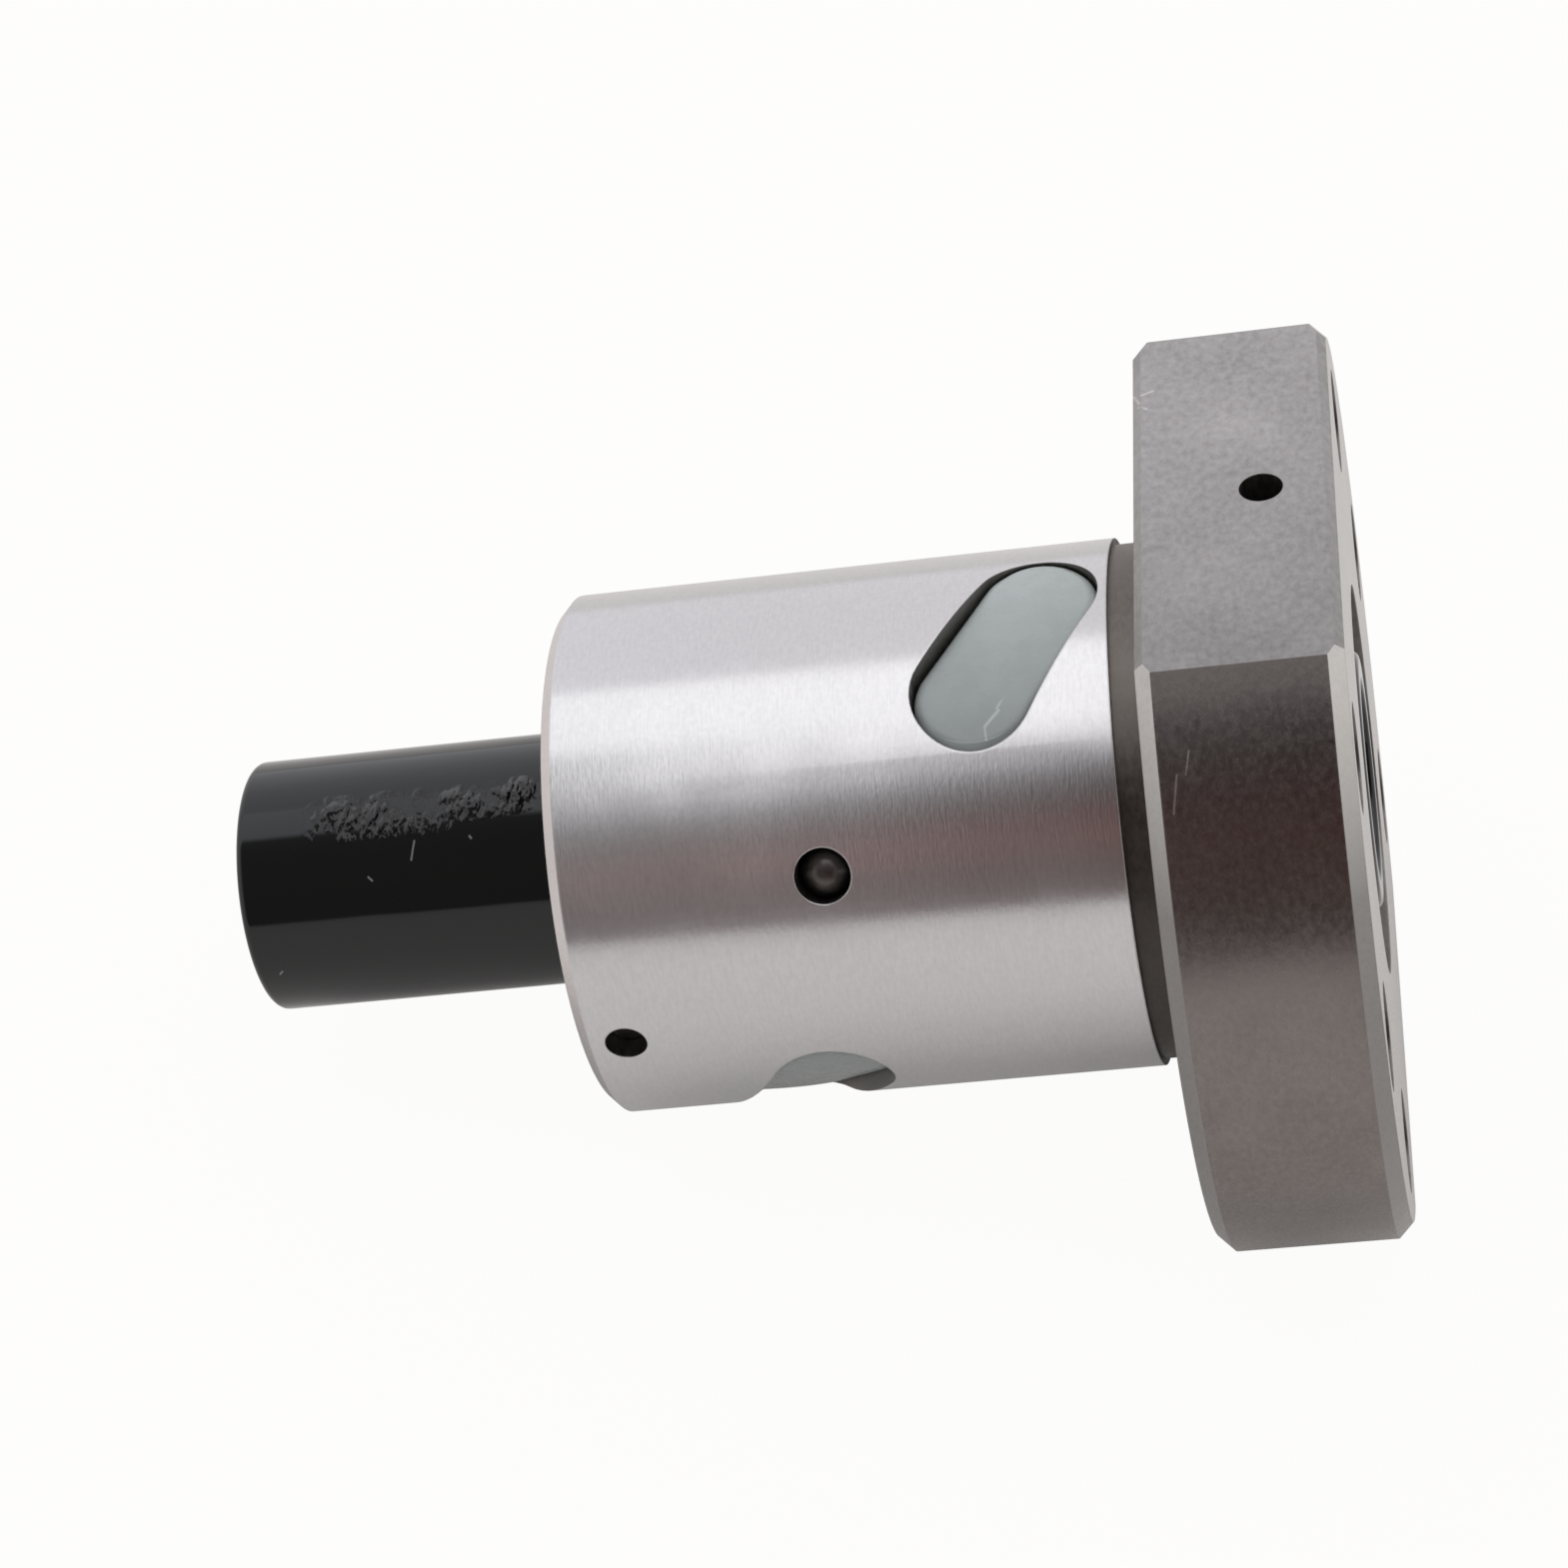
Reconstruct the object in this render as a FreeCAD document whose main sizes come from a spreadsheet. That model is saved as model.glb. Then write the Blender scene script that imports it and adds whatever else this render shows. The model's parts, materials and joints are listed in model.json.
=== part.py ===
import FreeCAD, Part
import math
import os
import Sketcher
from FreeCAD import Placement, Rotation, Vector

# A flanged ball nut for a 16 mm screw with 5 mm lead, as it is delivered: closed by its wipers and
# slid onto a plastic sleeve that keeps the three rings of balls in their track.
#
# The nut's own frame has X along its axis. X = 0 is the flange face that lies against the housing,
# the barrel runs towards -X and the flange towards +X. Z is square to the flange's two flats. A place
# round the axis is given as an angle that starts at +Z and turns right-handed about +X.
# At the end everything is tilted about Y to lie on the flange's lower flat and the barrel's rim.

SIZES = [
    # name, value in mm or degrees, what it is
    ("barrel_dia", 28.0, "Barrel, the diameter that centres in the housing"),
    ("barrel_reach", 31.5, "Barrel from the mounting face to the free end"),
    ("barrel_chamfer", 0.6, "Chamfer at the barrel's free end"),
    ("neck_dia", 27.3, "Undercut beside the mounting face"),
    ("neck_width", 2.1, "Width of the undercut"),
    ("flange_dia", 48.0, "Round part of the flange"),
    ("flange_thick", 10.0, "Thickness of the flange"),
    ("flange_flats", 40.0, "Across the flange's two flats"),
    ("rim_chamfer", 0.8, "Chamfers of the flange's round rim"),
    ("flat_chamfer", 0.45, "Chamfers along the flats"),
    ("bolt_circle", 38.0, "Pitch circle of the six bolt holes"),
    ("bolt_hole", 5.5, "Bolt hole, clears M5"),
    ("bolt_step", 45.0, "Angle between neighbouring bolt holes"),
    ("lead", 5.0, "Travel per turn of the screw, right-handed"),
    ("ball_dia", 3.175, "Ball"),
    ("ball_circle", 16.855, "Diameter through the ball centres"),
    ("ball_gap", 0.25, "Least room between neighbouring balls"),
    ("ball_play", 0.02, "Room between a ball and the track's flanks"),
    ("land_rise", 0.17, "Lands between the turns of the track, beyond the ball circle"),
    ("circuits", 3, "Closed rings of balls, each with its return cap"),
    ("first_cap_at", -7.4, "First return cap, along the axis"),
    ("first_cap_turn", 8.3, "First return cap, round the axis"),
    ("cap_step", 4.0 / 3.0, "Turns of the track from one cap to the next"),
    ("slot_width", 6.4, "Milled slot for a return cap"),
    ("slot_length", 13.2, "Length of that slot over its round ends"),
    ("cap_play", 0.1, "Room between a cap and its slot"),
    ("cap_roof", 1.3, "Plastic over the return channel"),
    ("cap_bevel", 0.3, "Bevel of the cap's outer edge"),
    ("crossing", 35.0, "Half of the angle in which a ball crosses back"),
    ("lift", 1.27, "Rise of the balls over the screw's crest"),
    ("channel_play", 0.12, "Room between a ball and the return channel"),
    ("screw_dia", 16.0, "Screw that the nut runs on"),
    ("seat_wall", 0.23, "Wiper seats beyond the track, on the radius"),
    ("flange_seat", 4.6, "Depth of the wiper seat in the flange"),
    ("barrel_seat", 4.9, "Depth of the wiper seat in the barrel"),
    ("wiper_width", 4.0, "Width of a wiper"),
    ("wiper_play", 0.05, "Room round a wiper"),
    ("land_play", 0.1, "Wiper's room over the screw's lands"),
    ("rib_play", 0.15, "Wiper's rib from the sleeve"),
    ("grub_hole", 2.2, "Radial hole of a wiper's grub screw"),
    ("grub_play", 0.04, "Room round a grub screw"),
    ("grub_length", 3.0, "Length of a grub screw"),
    ("grub_bite", 0.5, "How far the grub screw enters the wiper"),
    ("grub_slot", 0.4, "Width of its driver slot"),
    ("flange_grub_in", 1.0, "Upper flat's grub hole from the inner end of the wiper"),
    ("barrel_grub_in", 2.4, "Barrel's grub hole from the inner end of the wiper"),
    ("barrel_grub_turn", 93.0, "Barrel's grub hole, round the axis"),
    ("plug_hole", 2.9, "Blind hole in the middle of the barrel"),
    ("plug_depth", 3.4, "Depth of the blind hole"),
    ("plug_at", -17.3, "Blind hole, along the axis"),
    ("plug_turn", 57.2, "Blind hole, round the axis"),
    ("plug_sink", 0.45, "Top of the plug under the barrel"),
    ("plug_play", 0.02, "Room round the plug"),
    ("oil_tap", 5.0, "Tapping bore of the M6 oil port"),
    ("oil_depth", 7.5, "Depth of that bore"),
    ("oil_way", 2.4, "Oil way from the port to the track"),
    ("oil_from_seat", 1.4, "Oil port from the inner end of the flange's wiper"),
    ("sleeve_play", 0.04, "Room between the balls and the sleeve"),
    ("sleeve_wall", 1.6, "Wall of the sleeve"),
    ("sleeve_length", 60.0, "Length of the sleeve"),
    ("sleeve_chamfer", 0.25, "Chamfer at its free end"),
]

doc = FreeCAD.newDocument("ball_nut")
sheet = doc.addObject("Spreadsheet::Sheet", "Sizes")
for row, (name, value, note) in enumerate(SIZES, start=1):
    sheet.set(f"A{row}", note)
    sheet.set(f"B{row}", repr(value))
    sheet.setAlias(f"B{row}", name)
doc.recompute()


def size(name):
    """The number in the sheet's cell of that name."""
    return float(sheet.get(name))


def sized(formula):
    """A formula whose names in braces are cells of the sheet."""
    return formula.replace("{", "Sizes.").replace("}", "")


# Lengths that several pieces share, as formulas on the sheet: radii first, then stations on X
BARREL = "{barrel_dia} / 2"
BALLS = "{ball_circle} / 2"
LANDS = "({ball_circle} / 2 + {land_rise})"
ROOM = "({ball_dia} / 2 + {ball_play})"
ARCH = f"({ROOM} / cos(30 deg))"
SEAT = f"({BALLS} + {ROOM} + {{seat_wall}})"
SLEEVE = "({ball_circle} / 2 - {ball_dia} / 2 - {sleeve_play})"
RIB = f"({SLEEVE} + {{rib_play}})"
CAP_TOP = f"({BALLS} + {{lift}} + {{ball_dia}} / 2 + {{channel_play}} + {{cap_roof}})"
FLANGE_SEAT = "({flange_thick} - {flange_seat})"
BARREL_SEAT = "({barrel_seat} - {barrel_reach})"
TRACK = "({first_cap_at} + {lead} / 2 - {lead} * {first_cap_turn} / 360)"

# The same lengths as numbers, for what is placed along the track or round the axis
ball_radius = size("ball_dia") / 2
circle_radius = size("ball_circle") / 2
seat_radius = circle_radius + ball_radius + size("ball_play") + size("seat_wall")
flange_seat_at = size("flange_thick") - size("flange_seat")
barrel_seat_at = size("barrel_seat") - size("barrel_reach")
track_at = size("first_cap_at") + size("lead") * (0.5 - size("first_cap_turn") / 360)
circuits = int(size("circuits"))


def new_body(label):
    body = doc.addObject("PartDesign::Body", label)
    body.Label = label
    return body


def new_sketch(body, name, plane):
    """A sketch on one of the body's own origin planes."""
    sketch = body.newObject("Sketcher::SketchObject", name)
    for feature in body.Origin.OriginFeatures:
        if feature.Role == plane:
            sketch.AttachmentSupport = [(feature, "")]
    sketch.MapMode = "FlatFace"
    return sketch


def face_outwards(sketch, at, turn, height=0.0, twist=0.0):
    """Lay a sketch square to the radius at an angle round the axis, height away from the axis."""
    out = Rotation(Vector(1, 0, 0), turn)
    middle = Vector(at, 0, 0) + out.multVec(Vector(0, 0, height))
    sketch.AttachmentOffset = Placement(middle, out * Rotation(Vector(0, 0, 1), twist))


def bind(sketch, kind, items, formula, name):
    """Add a dimension to a sketch and tie it to a formula on the sheet."""
    index = sketch.addConstraint(Sketcher.Constraint(kind, *items))
    sketch.renameConstraint(index, name)
    sketch.setExpression(f"Constraints.{name}", sized(formula))


def draw_outline(sketch, corners):
    """Closed outline of straight lines. Each corner is a pair of formulas for its two distances."""
    count = len(corners)
    start = [Vector(math.cos(-2 * math.pi * i / count), math.sin(-2 * math.pi * i / count), 0)
             for i in range(count)]
    for i in range(count):
        sketch.addGeometry(Part.LineSegment(start[i], start[(i + 1) % count]))
    for i in range(count):
        sketch.addConstraint(Sketcher.Constraint("Coincident", i, 2, (i + 1) % count, 1))
    for i, (across, up) in enumerate(corners):
        bind(sketch, "DistanceX", (-1, 1, i, 1, start[i].x), across, f"across_{i}")
        bind(sketch, "DistanceY", (-1, 1, i, 1, start[i].y), up, f"up_{i}")


def draw_circle(sketch, diameter, across="0", up="0"):
    geo = sketch.addGeometry(Part.Circle(Vector(1, 1, 0), Vector(0, 0, 1), 1))
    bind(sketch, "Diameter", (geo, 2.0), diameter, f"hole_{geo}")
    bind(sketch, "DistanceX", (-1, 1, geo, 3, 1.0), across, f"hole_across_{geo}")
    bind(sketch, "DistanceY", (-1, 1, geo, 3, 1.0), up, f"hole_up_{geo}")


def draw_slot(sketch, length, width):
    """An obround along the sketch's own X axis, centred on its origin."""
    half = math.pi / 2
    right = sketch.addGeometry(Part.ArcOfCircle(
        Part.Circle(Vector(2, 0, 0), Vector(0, 0, 1), 1), -half, half))
    left = sketch.addGeometry(Part.ArcOfCircle(
        Part.Circle(Vector(-2, 0, 0), Vector(0, 0, 1), 1), half, 3 * half))
    top = sketch.addGeometry(Part.LineSegment(Vector(2, 1, 0), Vector(-2, 1, 0)))
    low = sketch.addGeometry(Part.LineSegment(Vector(-2, -1, 0), Vector(2, -1, 0)))
    for one, end_one, other, end_other in (
            (right, 2, top, 1), (top, 2, left, 1), (left, 2, low, 1), (low, 2, right, 1)):
        sketch.addConstraint(Sketcher.Constraint("Tangent", one, end_one, other, end_other))
    sketch.addConstraint(Sketcher.Constraint("Equal", right, left))
    sketch.addConstraint(Sketcher.Constraint("PointOnObject", right, 3, -1))
    sketch.addConstraint(Sketcher.Constraint("Symmetric", right, 3, left, 3, -1, 1))
    bind(sketch, "Radius", (right, 1.0), f"({width}) / 2", "end_radius")
    bind(sketch, "DistanceX", (left, 3, right, 3, 4.0), f"({length}) - ({width})", "between_ends")


def turn_about_axis(body, kind, sketch, name):
    """A Revolution or Groove of a profile about the nut's axis."""
    feature = body.newObject("PartDesign::" + kind, name)
    feature.Profile = sketch
    feature.ReferenceAxis = (sketch, ["H_Axis"])
    feature.Angle = 360
    doc.recompute()
    return feature


def raise_outwards(body, sketch, name, length):
    """Pad a sketch along its normal by a formula's length."""
    pad = body.newObject("PartDesign::Pad", name)
    pad.Profile = sketch
    pad.setExpression("Length", sized(length))
    doc.recompute()
    return pad


def cut_outwards(body, sketch, name):
    """Cut a sketch away along its normal, from its plane outwards through everything."""
    before = body.Tip.Shape.Volume
    pocket = body.newObject("PartDesign::Pocket", name)
    pocket.Profile = sketch
    pocket.Type = "ThroughAll"
    pocket.Reversed = True
    doc.recompute()
    if pocket.Shape.Volume >= before - 0.01:
        raise RuntimeError(f"{name} cuts nothing")
    return pocket


def wind_groove(body, sketch, name, height):
    """Cut a profile along the screw line, from where it is drawn to a height further on."""
    before = body.Tip.Shape.Volume
    helix = body.newObject("PartDesign::SubtractiveHelix", name)
    helix.Profile = sketch
    helix.ReferenceAxis = (sketch, ["H_Axis"])
    helix.Mode = "pitch-height-angle"
    helix.setExpression("Pitch", sized("{lead}"))
    helix.setExpression("Height", sized(height))
    helix.Angle = 0
    helix.LeftHanded = False
    doc.recompute()
    if helix.Shape.Volume >= before - 1:
        raise RuntimeError(f"{name} cuts nothing")
    return helix


def outward(turn):
    """The direction straight out from the axis at an angle round it."""
    return Rotation(Vector(1, 0, 0), turn).multVec(Vector(0, 0, 1))


def cap_place(number):
    """Station and angle of a return cap: each lies cap_step turns back along the track."""
    back = number * size("cap_step")
    return size("first_cap_at") - back * size("lead"), size("first_cap_turn") - back * 360


def crossing_point(number, share):
    """Ball centre on its way back over the screw's crest, for a share from -1 to 1."""
    at, turn = cap_place(number)
    inside = max(-1.0, min(1.0, share))
    angle = share * size("crossing")
    side = (3 * inside - inside ** 3) / 2
    along = at + size("lead") * angle / 360 - side * size("lead") / 2
    radius = circle_radius + size("lift") * (1 - inside ** 2) ** 2
    return Vector(along, 0, 0) + outward(turn + angle) * radius


# A cap's slot lies along the way on which the balls cross, so it leans as they do at its middle
sideways = size("lead") / 2 * 1.5 / math.radians(size("crossing")) - size("lead") / (2 * math.pi)
slot_lean = math.degrees(math.atan2(sideways, circle_radius + size("lift")))
slot_twist = 90 - slot_lean

# Nut body: turned, then its flats, bolt holes, cap slots, small radial holes and the ball track

nut = new_body("nut_body")
section = new_sketch(nut, "NutSection", "XZ_Plane")
# The section is drawn below the axis, where the seam of the turned surfaces meets no cap slot
section.AttachmentOffset = Placement(Vector(0, 0, 0), Rotation(Vector(1, 0, 0), 180))
draw_outline(section, [
    (BARREL_SEAT, LANDS),
    (BARREL_SEAT, SEAT),
    ("-{barrel_reach}", SEAT),
    ("-{barrel_reach}", "{barrel_dia} / 2 - {barrel_chamfer}"),
    ("{barrel_chamfer} - {barrel_reach}", BARREL),
    ("-{neck_width}", BARREL),
    ("-{neck_width}", "{neck_dia} / 2"),
    ("0", "{neck_dia} / 2"),
    ("0", "{flange_dia} / 2 - {rim_chamfer}"),
    ("{rim_chamfer}", "{flange_dia} / 2"),
    ("{flange_thick} - {rim_chamfer}", "{flange_dia} / 2"),
    ("{flange_thick}", "{flange_dia} / 2 - {rim_chamfer}"),
    ("{flange_thick}", SEAT),
    (FLANGE_SEAT, SEAT),
    (FLANGE_SEAT, LANDS),
])
turn_about_axis(nut, "Revolution", section, "TurnedNut")

above = new_sketch(nut, "AboveTheFlat", "XZ_Plane")
draw_outline(above, [
    ("-{rim_chamfer}", "{flange_flats} / 2 - {flat_chamfer} - {rim_chamfer}"),
    ("{flat_chamfer}", "{flange_flats} / 2"),
    ("{flange_thick} - {flat_chamfer}", "{flange_flats} / 2"),
    ("{flange_thick} + {rim_chamfer}", "{flange_flats} / 2 - {flat_chamfer} - {rim_chamfer}"),
    ("{flange_thick} + {rim_chamfer}", "{flange_dia}"),
    ("-{rim_chamfer}", "{flange_dia}"),
])
upper_flat = nut.newObject("PartDesign::Pocket", "UpperFlat")
upper_flat.Profile = above
upper_flat.Type = "ThroughAll"
upper_flat.Midplane = True
doc.recompute()
both_flats = nut.newObject("PartDesign::Mirrored", "BothFlats")
both_flats.Originals = [upper_flat]
for feature in nut.Origin.OriginFeatures:
    if feature.Role == "XY_Plane":
        both_flats.MirrorPlane = (feature, [""])
nut.Tip = both_flats
doc.recompute()

bolts = new_sketch(nut, "BoltHoleRow", "YZ_Plane")
for side in (-1, 1):
    for step in (-1, 0, 1):
        draw_circle(bolts, "{bolt_hole}",
                    f"{side} * {{bolt_circle}} / 2 * cos({step} * {{bolt_step}} * 1 deg)",
                    f"{{bolt_circle}} / 2 * sin({step} * {{bolt_step}} * 1 deg)")
cut_outwards(nut, bolts, "BoltHoles")

for number in range(circuits):
    at, turn = cap_place(number)
    slot = new_sketch(nut, f"CapSlotOutline{number + 1}", "XY_Plane")
    face_outwards(slot, at, turn, 0, slot_twist)
    draw_slot(slot, "{slot_length}", "{slot_width}")
    cut_outwards(nut, slot, f"CapSlot{number + 1}")

flange_grub_at = flange_seat_at + size("flange_grub_in")
barrel_grub_at = barrel_seat_at - size("barrel_grub_in")
oil_at = flange_seat_at - size("oil_from_seat")
RADIAL_HOLES = [
    # name, diameter, station, angle, distance of its floor from the axis
    ("FlangeGrubHole", "{grub_hole}", flange_grub_at, 0.0, 0.0),
    ("BarrelGrubHole", "{grub_hole}", barrel_grub_at, size("barrel_grub_turn"), 0.0),
    ("PlugHole", "{plug_hole}", size("plug_at"), size("plug_turn"),
     size("barrel_dia") / 2 - size("plug_depth")),
    ("OilWay", "{oil_way}", oil_at, 180.0, 0.0),
    ("OilPort", "{oil_tap}", oil_at, 180.0, size("flange_flats") / 2 - size("oil_depth")),
]
for name, diameter, at, turn, floor in RADIAL_HOLES:
    ring = new_sketch(nut, name + "Outline", "XY_Plane")
    face_outwards(ring, at, turn, floor)
    draw_circle(ring, diameter)
    cut_outwards(nut, ring, name)

# The track has three flat flanks that the ball would touch at 30, 90 and 150 degrees. It starts beyond
# the free end and stops in the flange's wiper seat, so that it is open at both seats
START = f"({TRACK} - ceil(({TRACK} + {{barrel_reach}}) / {{lead}}) * {{lead}})"
track = new_sketch(nut, "TrackSection", "XZ_Plane")
draw_outline(track, [
    (f"{START} + {ARCH}", BALLS),
    (f"{START} + {ARCH} * cos(60 deg)", f"{BALLS} + {ROOM}"),
    (f"{START} - {ARCH} * cos(60 deg)", f"{BALLS} + {ROOM}"),
    (f"{START} - {ARCH}", BALLS),
])
wind_groove(nut, track, "BallTrack", f"{FLANGE_SEAT} + {{flange_seat}} / 2 - {START}")

parts = [nut]

# Return caps: a plug of the slot's outline, hollowed to the lands of the bore, with a channel inside
# that takes the balls from one turn of the track over the screw's crest to the turn before


def return_channel(number):
    """Solid to cut away: walls beside the balls' way back and a roof that follows their rise."""
    room = ball_radius + size("channel_play")
    lean = math.radians(15)
    roof = room * (1 - math.sin(lean)) / math.cos(lean)
    foot = (room + ball_radius * math.sin(lean)) / math.cos(lean)
    profile = [(-foot, -ball_radius), (-roof, room), (roof, room), (foot, -ball_radius)]
    rings = []
    for share in (-1.3, -1.0, -0.65, -0.3, 0.0, 0.3, 0.65, 1.0, 1.3):
        middle = crossing_point(number, share)
        heading = crossing_point(number, share + 0.01) - crossing_point(number, share - 0.01)
        up = Vector(0, middle.y, middle.z).normalize()
        side = heading.cross(up).normalize()
        ring = [middle + side * across + up * rise for across, rise in profile]
        rings.append(Part.makePolygon(ring + ring[:1]))
    return Part.makeLoft(rings, True, True)


for number in range(circuits):
    at, turn = cap_place(number)
    label = f"return_cap_{number + 1}"
    blank = new_body(label + "_blank")
    outline = new_sketch(blank, f"CapOutline{number + 1}", "XY_Plane")
    face_outwards(outline, at, turn, 0, slot_twist)
    draw_slot(outline, "{slot_length} - 2 * {cap_play}", "{slot_width} - 2 * {cap_play}")
    raise_outwards(blank, outline, f"CapPlug{number + 1}", CAP_TOP)
    bore = new_sketch(blank, f"CapBoreSection{number + 1}", "XZ_Plane")
    draw_outline(bore, [
        ("-2 * {barrel_reach}", "0"), ("-2 * {barrel_reach}", LANDS),
        ("2 * {barrel_reach}", LANDS), ("2 * {barrel_reach}", "0"),
    ])
    block = turn_about_axis(blank, "Groove", bore, f"CapBore{number + 1}")
    heights = [[v.Point.dot(outward(turn)) for v in edge.Vertexes] for edge in block.Shape.Edges]
    top = max(max(ends) for ends in heights)
    rim = [f"Edge{i}" for i, ends in enumerate(heights, start=1) if min(ends) > top - 0.01]
    bevel = blank.newObject("PartDesign::Chamfer", f"CapBevel{number + 1}")
    bevel.Base = (block, rim)
    bevel.setExpression("Size", sized("{cap_bevel}"))
    channel = doc.addObject("Part::Feature", label + "_channel")
    channel.Shape = return_channel(number)
    cap = doc.addObject("Part::Cut", label)
    cap.Label = label
    cap.Base = blank
    cap.Tool = channel
    doc.recompute()
    parts.append(cap)

# Wipers: plastic rings whose inner rib fills the screw's groove, each held by a grub screw

WIPERS = [
    # name, inner end, outer end, the same as numbers, its grub screw's station and angle
    ("wiper_flange_end", FLANGE_SEAT, f"({FLANGE_SEAT} + {{wiper_width}})",
     flange_seat_at, flange_seat_at + size("wiper_width"), flange_grub_at, 0.0),
    ("wiper_free_end", BARREL_SEAT, f"({BARREL_SEAT} - {{wiper_width}})",
     barrel_seat_at, barrel_seat_at - size("wiper_width"), barrel_grub_at, size("barrel_grub_turn")),
]
for label, inner, outer, inner_at, outer_at, station, turn in WIPERS:
    wiper = new_body(label)
    ring = new_sketch(wiper, label + "_section", "XZ_Plane")
    draw_outline(ring, [
        (inner, RIB), (inner, f"{SEAT} - {{wiper_play}}"),
        (outer, f"{SEAT} - {{wiper_play}}"), (outer, RIB),
    ])
    turn_about_axis(wiper, "Revolution", ring, label + "_ring")
    low = min(inner_at, outer_at)
    back = math.ceil((track_at - low) / size("lead"))
    turns = math.ceil(size("wiper_width") / size("lead")) + 2
    first = f"({TRACK} + {{lead}} / 2 - {back + 1} * {{lead}})"
    land = new_sketch(wiper, label + "_land_section", "XZ_Plane")
    draw_outline(land, [
        (f"{first} - 0.45 * {{lead}}", f"{RIB} - {{rib_play}}"),
        (f"{first} - 0.2 * {{lead}}", "{screw_dia} / 2 + {land_play}"),
        (f"{first} + 0.2 * {{lead}}", "{screw_dia} / 2 + {land_play}"),
        (f"{first} + 0.45 * {{lead}}", f"{RIB} - {{rib_play}}"),
    ])
    wind_groove(wiper, land, label + "_land", f"{turns} * {{lead}}")
    foot = seat_radius - size("wiper_play") - size("grub_bite")
    dimple = new_sketch(wiper, label + "_dimple", "XY_Plane")
    face_outwards(dimple, station, turn, foot)
    draw_circle(dimple, "{grub_hole} - 2 * {grub_play}")
    cut_outwards(wiper, dimple, label + "_grub_seat")
    parts.append(wiper)

    name = label.replace("wiper", "grub_screw")
    grub = new_body(name)
    shank = new_sketch(grub, name + "_outline", "XY_Plane")
    face_outwards(shank, station, turn, foot)
    draw_circle(shank, "{grub_hole} - 2 * {grub_play}")
    raise_outwards(grub, shank, name + "_shank", "{grub_length}")
    driver = new_sketch(grub, name + "_driver_outline", "XY_Plane")
    face_outwards(driver, station, turn, foot + size("grub_length") * 0.75)
    draw_outline(driver, [
        ("-{grub_hole}", "-{grub_slot} / 2"), ("-{grub_hole}", "{grub_slot} / 2"),
        ("{grub_hole}", "{grub_slot} / 2"), ("{grub_hole}", "-{grub_slot} / 2"),
    ])
    cut_outwards(grub, driver, name + "_driver_slot")
    parts.append(grub)

# Transport sleeve: a tube in the screw's place, its near end level with the flange

NEAR = "{flange_thick}"
FAR = "({flange_thick} - {sleeve_length})"
sleeve = new_body("transport_sleeve")
tube = new_sketch(sleeve, "SleeveSection", "XZ_Plane")
draw_outline(tube, [
    (FAR, f"{SLEEVE} - {{sleeve_wall}}"),
    (FAR, f"{SLEEVE} - {{sleeve_chamfer}}"),
    (f"{FAR} + {{sleeve_chamfer}}", SLEEVE),
    (NEAR, SLEEVE),
    (NEAR, f"{SLEEVE} - {{sleeve_wall}}"),
])
turn_about_axis(sleeve, "Revolution", tube, "SleeveTube")
parts.append(sleeve)

# Balls: closed faceted solids whose corners lie on the true sphere


def faceted_ball(middle, radius):
    """Solid of 32 flat faces: an octahedron whose edges are halved and pushed out to the sphere."""
    faces = []
    for side_x in (-1, 1):
        for side_y in (-1, 1):
            for side_z in (-1, 1):
                a, b, c = Vector(side_x, 0, 0), Vector(0, side_y, 0), Vector(0, 0, side_z)
                ab, bc, ca = (a + b).normalize(), (b + c).normalize(), (c + a).normalize()
                for small in ((a, ab, ca), (b, bc, ab), (c, ca, bc), (ab, bc, ca)):
                    ring = [middle + p * radius for p in small]
                    faces.append(Part.Face(Part.makePolygon(ring + ring[:1])))
    solid = Part.Solid(Part.Shell(faces))
    if solid.Volume < 0:
        solid.reverse()
    return solid


def circuit_way(number):
    """The closed way of one circuit's ball centres, as points close together."""
    at, turn = cap_place(number)
    cross = size("crossing")
    points = []
    for i in range(400):
        angle = cross + (360 - 2 * cross) * i / 400
        along = at - size("lead") / 2 + size("lead") * angle / 360
        points.append(Vector(along, 0, 0) + outward(turn + angle) * circle_radius)
    points.extend(crossing_point(number, 2 * i / 200 - 1) for i in range(201))
    return points


def add_ball(label, middle, radius):
    ball = doc.addObject("Part::Feature", label)
    ball.Label = label
    ball.Shape = faceted_ball(middle, radius)
    parts.append(ball)


for number in range(circuits):
    way = circuit_way(number)
    run = [0.0]
    for here, there in zip(way, way[1:]):
        run.append(run[-1] + (there - here).Length)
    count = int(run[-1] / (size("ball_dia") + size("ball_gap")))
    print(f"circuit {number + 1}: way {run[-1]:.2f} mm, {count} balls")
    spot = 0
    for ball_number in range(count):
        goal = run[-1] * (ball_number + 0.5) / count
        while run[spot + 1] < goal:
            spot += 1
        share = (goal - run[spot]) / (run[spot + 1] - run[spot])
        middle = way[spot] + (way[spot + 1] - way[spot]) * share
        add_ball(f"circuit_{number + 1}_ball_{ball_number + 1:02d}", middle, ball_radius)

plug_radius = size("plug_hole") / 2 - size("plug_play")
plug_height = size("barrel_dia") / 2 - size("plug_sink") - plug_radius
plug_middle = Vector(size("plug_at"), 0, 0) + outward(size("plug_turn")) * plug_height
add_ball("plug_ball", plug_middle, plug_radius)

# Lay the nut down on the inner edge of the lower flat and the rim of the barrel's free end

drop = size("flange_flats") / 2 - size("barrel_dia") / 2
reach = size("barrel_reach") - size("barrel_chamfer") + size("flat_chamfer")
tilt = math.degrees(math.atan2(drop, reach))
lying = Placement(Vector(0, 0, 0), Rotation(Vector(0, 1, 0), -tilt))
for part in parts:
    part.Placement = lying
doc.recompute()

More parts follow.
